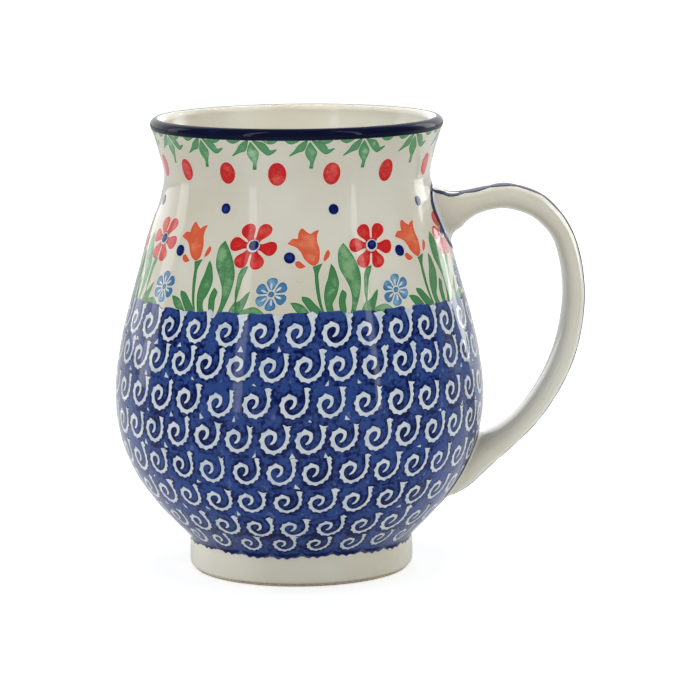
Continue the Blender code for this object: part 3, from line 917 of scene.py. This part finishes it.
class Motifs:
    """Collects the stamps of one colour, and the halos where the colour bleeds into the glaze round them."""

    def __init__(self, bleed=0.0, grow=0.0):
        self.bleed = bleed
        self.grow = grow
        self.stamps = []
        self.halos = []
        self.patches = {}

    def add(self, key, knots, place, tone=0.0):
        if key not in self.patches:
            loop = spread(outline(knots), self.grow)
            halo = filled(spread(loop, self.bleed), grid=1.4, rim=0.5) if self.bleed else None
            self.patches[key] = filled(loop), halo
        patch, halo = self.patches[key]
        self.stamps.append((patch, place, tone))
        if halo:
            self.halos.append((halo, place, tone))


def build_meadow(shuffle):
    """The eight groups: leaves and stems, tulips, red flowers, blue flowers and dots."""
    leaves, tulips, reds = Motifs(0.42, 0.05), Motifs(0.4), Motifs(0.4)
    blues, dots, creams = Motifs(0.35), Motifs(0.4), Motifs()
    for angle in GROUP_ANGLES:
        angle += shuffle.uniform(-0.4, 0.4)
        place = on_wall_at(angle, GROUP_HEIGHT, size=shuffle.uniform(0.98, 1.02))
        for name, (tone, knots) in LEAVES.items():
            leaves.add(name, knots, place, tone + shuffle.uniform(-0.15, 0.15))
        tulips.add("tulip", TULIP, place, shuffle.uniform(-0.15, 0.15))
        tulips.add("left_bud", LEFT_BUD, place, -0.4)
        tulips.add("right_bud", RIGHT_BUD, place, -0.1)
        for number, turn in enumerate(RED_PETALS):
            reds.add(number, moved(RED_PETAL, RED_FLOWER_CENTRE, turn), place, shuffle.uniform(-0.45, 0.35))
        creams.add("ring", oval(*RED_FLOWER_RING), place)
        for number, turn in enumerate(BLUE_PETALS):
            blues.add(number, moved(BLUE_PETAL, BLUE_FLOWER_CENTRE, turn), place, shuffle.uniform(-0.4, 0.3))
            creams.add(number, moved(PETAL_STREAK, BLUE_FLOWER_CENTRE, turn + 4.0), place)
        blues.add("eye", oval(*BLUE_FLOWER_EYE), place, 0.2)
        dots.add("eye", oval(*RED_FLOWER_EYE), place)
        dots.add("dot", oval(*BIG_DOT), place)
    for angle in DOT_ANGLES:
        if abs(angle - 90.0) > HANDLE_CLEARANCE:
            dots.add("small", oval(1.3, 1.35), on_wall_at(angle, DOT_HEIGHT))
    return leaves, tulips, reds, blues, dots, creams


def build_garland(shuffle):
    """Leaves that hang from the lip band, and the red ovals between them."""
    leaves, ovals = Motifs(0.4, 0.12), Motifs(0.35)
    for angle in GARLAND_ANGLES:
        place = on_wall_at(angle, GARLAND_HEIGHT, size=shuffle.uniform(0.96, 1.03))
        for number, (tone, knots) in enumerate(GARLAND):
            leaves.add(number, knots, place, tone + shuffle.uniform(-0.15, 0.15))
    for angle in OVAL_ANGLES:
        place = on_wall_at(angle, OVAL_HEIGHT, shuffle.uniform(-7.0, 7.0), shuffle.uniform(0.95, 1.04))
        ovals.add("oval", oval(2.25, 2.95), place, shuffle.uniform(-0.1, 0.05))
    return leaves, ovals


def build_flora():
    shuffle = np.random.default_rng(7)
    garland, ovals = build_garland(shuffle)
    leaves, tulips, reds, blues, dots, creams = build_meadow(shuffle)
    paints = {name: brushed(name, *colours, **changes) for name, (*colours, changes) in PAINTS.items()}
    for name, motifs, lift, paint, slot in (
        ("meadow_leaves", leaves, LIFT_GREEN, "leaf_green", "underglaze_green"),
        ("garland_leaves", garland, LIFT_GREEN, "garland_green", "underglaze_green"),
        ("tulips", tulips, LIFT_BLOOM, "tulip_orange", "underglaze_orange"),
        ("red_flowers", reds, LIFT_BLOOM, "flower_red", "underglaze_red"),
        ("red_ovals", ovals, LIFT_BLOOM, "flower_red", "underglaze_red"),
        ("blue_flowers", blues, LIFT_BLOOM, "flower_blue", "underglaze_blue"),
        ("cobalt_dots", dots, LIFT_DOT, "dot_cobalt", "underglaze_cobalt"),
    ):
        lay(name, motifs.stamps, lift, paints[paint], slot)
    lay("flower_lights", creams.stamps, LIFT_RING, scroll_cream(), "clear_glaze")
    for name, tint, sources in (
        ("green_bloom", (206, 230, 188), (leaves, garland)),
        ("red_bloom", (252, 214, 198), (reds, ovals, tulips)),
        ("blue_bloom", (204, 222, 234), (blues, dots)),
    ):
        halos = [halo for motifs in sources for halo in motifs.halos]
        lay(name, halos, LIFT_HALO, tinged_glaze(name, "depth", 0.0, 0.42, 0.85, tint), "clear_glaze")


# The scrolled band
# Rows of sponge stamps from the top: height of the scrolls' eyes, angle of one of them, how many go round.
SCROLL_ROWS = [
    (69.2, -1.3, 31), (60.9, 1.3, 34), (51.7, -3.4, 32), (42.8, 1.2, 34),
    (33.9, 3.7, 32), (25.4, 5.7, 30), (17.6, -4.4, 26), (12.2, 5.9, 23),
]
# One scroll from its eye to its tail: x, y and half width.
SCROLL = [
    (0.3, -1.2, 0.24), (0.9, -0.8, 0.36), (1.4, 0.0, 0.42), (1.5, 0.9, 0.45), (1.0, 1.6, 0.50),
    (0.1, 1.8, 0.54), (-1.0, 1.3, 0.52), (-1.7, 0.3, 0.50), (-1.8, -0.7, 0.50), (-1.5, -1.8, 0.52),
    (-0.7, -2.8, 0.50), (0.4, -3.3, 0.44), (1.4, -3.2, 0.40), (2.6, -2.6, 0.40), (3.6, -1.7, 0.42),
    (4.2, -0.6, 0.40), (4.5, 0.6, 0.40), (4.5, 1.6, 0.40), (4.4, 2.8, 0.48), (4.5, 3.7, 0.75),
]
# Share of the drawn width that the scrolls have in the first rows and in the rest, and the last row's size.
HEAVY_ROWS = 4
HEAVY_WEIGHT = 1.08
LIGHT_WEIGHT = 0.94
LAST_ROW_SIZE = 0.84
TOOTH_PITCH = 1.5
TOOTH_HEIGHT = 0.42
# The sponge's block, from a scroll's eye, in mm. Then, as shares of a row's pitch, how far round from the eye
# the tail stands in the first row, and the block's middle in the last row.
BLOCK_CENTRE = (0.85, -0.2)
BLOCK_HALF = (4.6, 5.1)
TAIL_SHARE = 4.75 / 9.1
BLOCK_SHARE = BLOCK_CENTRE[0] / 8.6
# The painted ground's edges and fineness.
GROUND_TOP = 73.7 * MM
GROUND_BOTTOM = 8.4 * MM
GROUND_COLUMNS = 528
GROUND_ROWS = 128
GROUND_UNDER_STEP = 8
# Flecks stand between the scrolls above a height, and are more frequent above a second one.
FLECK_SPOT = (5.3, -4.7)
FLECK_LOWEST = 14 * MM
FLECK_FREQUENT = 38 * MM


def scroll_patch(tail, flare, notch, row):
    """One scroll with toothed outer side. The tail is stretched, its end flared, and notched or pointed."""
    knots = np.array(SCROLL)
    rise = np.clip((knots[:, 1] - 1.5) / 3.0, 0.0, 1.0) * (knots[:, 0] > 4)
    knots[:, 1] += rise * tail
    knots[:, 2] *= (HEAVY_WEIGHT if row < HEAVY_ROWS else LIGHT_WEIGHT) * (1.0 + rise * (flare - 1.0))
    if row == 0:
        knots[:, 1] += rise * 1.0
        knots[:, 2] *= 1.0 + rise * 0.5
    line = spline(knots)
    line = respaced(line, int(lengths(line)[-1] / TOOTH_PITCH * 4) + 1)
    along = lengths(line)
    tooth = TOOTH_HEIGHT * (1.0 - abs(np.sin(math.pi * along / TOOTH_PITCH)))
    tooth *= np.clip((along - 2.0) / 2.5, 0.0, 1.0)
    return ribbon(line[:, :2], line[:, 2], line[:, 2] - 0.1 + tooth, notch)


def scroll_stamps(shuffle):
    """Every scroll of the band: ((angle, height, tilt, size), patch, tone)."""
    stamps = []
    for row, (height, first, count) in enumerate(SCROLL_ROWS):
        for step in range(count):
            angle = first + 360.0 * step / count + shuffle.uniform(-0.3, 0.3)
            tail, flare = shuffle.uniform(-0.5, 0.5), shuffle.uniform(0.7, 1.7)
            if row >= HEAVY_ROWS:
                flare *= 1.25
            patch = scroll_patch(tail, flare, shuffle.uniform(-0.9, 0.5), row)
            middle = (height + shuffle.uniform(-0.25, 0.25)) * MM
            tilt, size = shuffle.uniform(-3.0, 3.0), shuffle.uniform(0.96, 1.04)
            if row == len(SCROLL_ROWS) - 1:
                size *= LAST_ROW_SIZE
            stamps.append(((angle, middle, tilt, size), patch, shuffle.uniform(-0.2, 0.2)))
    return stamps


def share_round(angle, row, offset):
    """Shares of a row's pitch, from -0.5 to 0.5, from the nearest spot at an offset from an eye."""
    _, first, count = SCROLL_ROWS[row]
    return ((np.degrees(angle) - first) / (360.0 / count) - offset + 0.5) % 1.0 - 0.5


def ground_edges(angle):
    """Lengths up the wall of the band's lower and upper edge. The upper one dips where a scroll's tail is,
    and the lower one follows the ends of its row of stamps."""
    tail = share_round(angle, 0, TAIL_SHARE)
    notch = np.clip((0.16 - abs(tail)) / 0.08, 0.0, 1.0)
    notch = notch * notch * (3 - 2 * notch)
    sway = 0.32 * np.sin(3 * angle + 0.6) + 0.16 * np.sin(11 * angle)
    top = length_at(GROUND_TOP) + (sway + 0.35 - 1.5 * notch - 0.12 * np.sin(47 * angle)) * MM
    block = share_round(angle, -1, BLOCK_SHARE)
    scallop = 1.0 - np.sqrt(np.clip(1.0 - (abs(block) / 0.54) ** 2.6, 0.0, 1.0))
    jagged = 0.25 * abs(np.sin(47 * angle)) + 0.15 * np.sin(71 * angle + 1.0) + 0.25 * np.sin(5 * angle)
    bottom = length_at(GROUND_BOTTOM) + (1.1 * scallop - 0.8 + jagged) * MM
    return bottom, top


def stamp_cover(stamps, turn, length):
    """How many stamps cover each point of the band, and the tone that they give it."""
    cover, tone = np.zeros(length.shape), np.zeros(length.shape)
    radius = radius_at(length)
    for (centre, height, _, _), _, shade in stamps:
        across = near_angle(turn, math.radians(centre)) * radius / MM - BLOCK_CENTRE[0]
        along = (length - length_at(height)) / MM - BLOCK_CENTRE[1]
        power = np.where(along > 0, 6.0, 2.6)
        reach = (abs(across) / BLOCK_HALF[0]) ** power + (abs(along) / BLOCK_HALF[1]) ** power
        amount = np.clip((1.0 - np.minimum(reach, 9.0) ** (1 / power)) * 6.0 + 0.5, 0.0, 1.0)
        cover += amount
        tone += amount * shade
    return cover, tone / np.maximum(cover, 1.0)


def scroll_distance(stamps, points):
    """Distance in mm from each point to the nearest edge of a scroll."""
    edges = np.vstack([on_wall_at(*spot)(patch[0], 0.0)[0] for spot, patch, _ in stamps])
    tree = kdtree.KDTree(len(edges))
    for index, edge in enumerate(edges):
        tree.insert(edge, index)
    tree.balance()
    return np.array([tree.find(point)[2] for point in points]) / MM


def build_ground(stamps):
    """The blue that the stamps lay. Each point keeps how many stamps cover it, their tone, and how far it
    is from a scroll and from the band's lower edge. The underside has fewer rows."""
    angle = np.linspace(0.0, 2 * math.pi, GROUND_COLUMNS, endpoint=False)
    bottom, top = ground_edges(angle)
    length = bottom + np.linspace(0.0, 1.0, GROUND_ROWS)[:, None] ** 1.5 * (top - bottom)
    turn = np.broadcast_to(angle, length.shape)
    points, normals = wall_point(turn, length, LIFT_GROUND)
    kept = sorted({*range(0, GROUND_ROWS, GROUND_UNDER_STEP), GROUND_ROWS - 1})
    under = (points - normals * (LIFT_GROUND + PAINT_DEPTH))[kept].reshape(-1, 3)
    points = points.reshape(-1, 3)
    start, count = len(points), len(points) + len(under)
    faces = grid_faces(GROUND_ROWS, GROUND_COLUMNS)
    faces += [[start + index for index in reversed(face)] for face in grid_faces(len(kept), GROUND_COLUMNS)]
    facing = list(faces)
    for column in range(GROUND_COLUMNS):
        beside = (column + 1) % GROUND_COLUMNS
        faces.append((column, start + column, start + beside, beside))
        facing.append((column, column, beside, beside))
        here, there = start - GROUND_COLUMNS + column, start - GROUND_COLUMNS + beside
        faces.append((here, there, there + count - start, here + count - start))
        facing.append((here, there, there, here))
    thing = new_object("scroll_ground", np.vstack([points, under]), faces, scroll_blue())
    cover, tone = stamp_cover(stamps, turn, length)
    for name, values, below in (
        ("cover", cover, 1.0),
        ("edge", scroll_distance(stamps, points), 2.0),
        ("tone", tone, 0.0),
        ("rise", (length - bottom) / MM, 0.0),
    ):
        set_value(thing, name, np.concatenate([values.ravel(), np.full(len(under), below)]))
    normals = np.vstack([normals.reshape(-1, 3), -normals[kept].reshape(-1, 3)])
    set_normals(thing, normals[np.ravel(facing)])
    finish_piece(thing, "underglaze_cobalt")


def build_scrolls():
    shuffle = np.random.default_rng(21)
    stamps = scroll_stamps(shuffle)
    build_ground(stamps)
    scrolls = [(patch, on_wall_at(*spot), tone) for spot, patch, tone in stamps]
    lay("cream_scrolls", scrolls, LIFT_SCROLL, scroll_cream(), "clear_glaze")
    flecks = []
    x, y = FLECK_SPOT
    for spot, _, tone in stamps:
        height = spot[1]
        if height > FLECK_LOWEST and shuffle.random() < (0.6 if height > FLECK_FREQUENT else 0.35):
            half, rise = shuffle.uniform(0.4, 0.8), shuffle.uniform(0.6, 1.6)
            lean, dip = shuffle.uniform(-0.6, 0.6), shuffle.uniform(-0.4, 0.3)
            knots = [(x - half, y + dip, 1), (x + lean, y + rise, 1), (x + half, y, 1)]
            flecks.append((filled(outline(knots, 0.25), grid=0.6, rim=0.2), on_wall_at(*spot), tone))
    lay("cream_flecks", flecks, LIFT_SCROLL, scroll_cream(), "clear_glaze")


# Stage. The glaze mirrors a tent that is dark on the camera's side and bright beyond the mug.
DOME_LIGHT = 0.66
BACKDROP_LIGHT = 1.05
TENT_DARK = 0.05
TENT_BRIGHT = 1.7
FLOOR_DARK = (0.25, 0.25, 0.25, 1.0)
WHITE = (1.0, 1.0, 1.0, 1.0)
FLOOR_COLOUR = (0.9, 0.9, 0.9, 1.0)
FLOOR_REACH = 6.0
# Lamps: (azimuth, elevation) in degrees, where 0 is the front and 90 the handle's side, then distance, width
# and height in m, and power. Some have a narrow beam, in degrees, to a spot (y, z) on the vessel's axis or
# behind it.
MIRRORED_LAMPS = {
    "left_front_strip": ((-38.0, 30.0), 0.62, 0.07, 0.9, 0.38),
    "right_front_strip": ((48.0, 30.0), 0.62, 0.045, 0.9, 0.3),
    "left_side_panel": ((-112.0, 14.0), 1.1, 0.25, 0.9, 1.05),
    "right_side_panel": ((128.0, 14.0), 1.1, 0.35, 0.9, 2.3),
}
HIDDEN_LAMPS = {
    "overhead": ((0.0, 88.0), 1.0, 0.5, 0.5, 1.2),
    "low_light_left": ((-84.0, 4.0), 0.6, 0.08, 0.04, 0.008, 16.0, (0.0, 0.006)),
    "low_light_right": ((84.0, 4.0), 0.6, 0.08, 0.04, 0.005, 16.0, (0.0, 0.006)),
    "mouth_light": ((0.0, 62.0), 0.5, 0.06, 0.06, 0.009, 14.0, (0.025, HEIGHT)),
}
# The camera: its spot in y and z, its lens in mm, and its yaw, pitch and roll in degrees.
EYE = (-0.8935, 0.2002)
LENS = 175.2
YAW, PITCH, ROLL = 0.864, 9.065, -0.52


def beyond_mug(nodes, vector, sign):
    """How far a mirrored direction points away from the camera, from 0 to 1."""
    turned = nodes.add("ShaderNodeVectorTransform", Vector=vector)
    turned.vector_type = "VECTOR"
    turned.convert_from = "WORLD"
    turned.convert_to = "CAMERA"
    parts = nodes.add("ShaderNodeSeparateXYZ", Vector=turned.outputs[0])
    return nodes.ramp(parts.outputs["Z"], 0.1 * sign, 0.85 * sign)


def build_floor():
    nodes = new_material("white_sweep")
    path = nodes.add("ShaderNodeLightPath").outputs
    incoming = nodes.add("ShaderNodeNewGeometry").outputs["Incoming"]
    in_glaze = nodes.mix(beyond_mug(nodes, incoming, -1.0), FLOOR_DARK, WHITE)
    nodes.shade(Base_Color=nodes.mix(path["Is Glossy Ray"], FLOOR_COLOUR, in_glaze), Emission_Color=WHITE)
    nodes.shade(Roughness=0.9, Specular_IOR_Level=0.0)
    nodes.shade(Emission_Strength=nodes.times(path["Is Camera Ray"], 0.5))
    corners = [(x * FLOOR_REACH, y * FLOOR_REACH, 0.0) for x, y in ((-1, -1), (1, -1), (1, 1), (-1, 1))]
    new_object("floor", corners, [(0, 1, 2, 3)], nodes.owner, smooth=False)


def build_world():
    world = Nodes(bpy.data.worlds.new("studio"), "Background")
    bpy.context.scene.world = world.owner
    path = world.add("ShaderNodeLightPath").outputs
    beyond = beyond_mug(world, world.add("ShaderNodeTexCoord").outputs["Generated"], 1.0)
    tent = world.between(beyond, TENT_DARK, TENT_BRIGHT)
    unseen = world.between(path["Is Glossy Ray"], DOME_LIGHT, tent)
    world.shade(Strength=world.between(path["Is Camera Ray"], unseen, BACKDROP_LIGHT), Color=WHITE)


def put_in_scene(thing, spot, gaze, roll=0.0):
    """Links a lamp or the camera, which stands at a spot and looks along a gaze."""
    thing.location = spot
    thing.rotation_mode = "QUATERNION"
    thing.rotation_quaternion = gaze.to_track_quat("-Z", "Y") @ Quaternion((0.0, 0.0, 1.0), roll)
    bpy.context.scene.collection.objects.link(thing)


def softbox(name, mirrored, side, distance, width, height, power, beam=180.0, spot=(0.0, HEIGHT / 2)):
    """A rectangular lamp that faces a spot in the mug, from the side at an azimuth and elevation."""
    turn, rise = np.radians(side).tolist()
    way = Vector((math.sin(turn) * math.cos(rise), -math.cos(turn) * math.cos(rise), math.sin(rise)))
    lamp = bpy.data.lights.new(name, "AREA")
    lamp.shape = "RECTANGLE"
    lamp.size = width
    lamp.size_y = height
    lamp.energy = power
    lamp.spread = math.radians(beam)
    thing = bpy.data.objects.new(name, lamp)
    thing.visible_camera = False
    thing.visible_glossy = mirrored
    put_in_scene(thing, Vector((AXIS_X, *spot)) + way * distance, -way)


def build_camera():
    """The eye stands level with a point above the lip and looks a little down."""
    camera = bpy.data.cameras.new("camera")
    camera.lens = LENS
    camera.sensor_width = 36.0
    camera.clip_start = 0.05
    thing = bpy.data.objects.new("camera", camera)
    yaw, pitch = math.radians(YAW), math.radians(PITCH)
    gaze = Vector((math.sin(yaw) * math.cos(pitch), math.cos(yaw) * math.cos(pitch), -math.sin(pitch)))
    put_in_scene(thing, (AXIS_X, *EYE), gaze, math.radians(ROLL))
    bpy.context.scene.camera = thing
    bpy.context.scene.view_settings.view_transform = "Standard"


build_vessel()
build_lip_band()
build_handle_paint(*build_handle())
build_flora()
build_scrolls()
build_floor()
build_world()
for name, settings in MIRRORED_LAMPS.items():
    softbox(name, True, *settings)
for name, settings in HIDDEN_LAMPS.items():
    softbox(name, False, *settings)
build_camera()
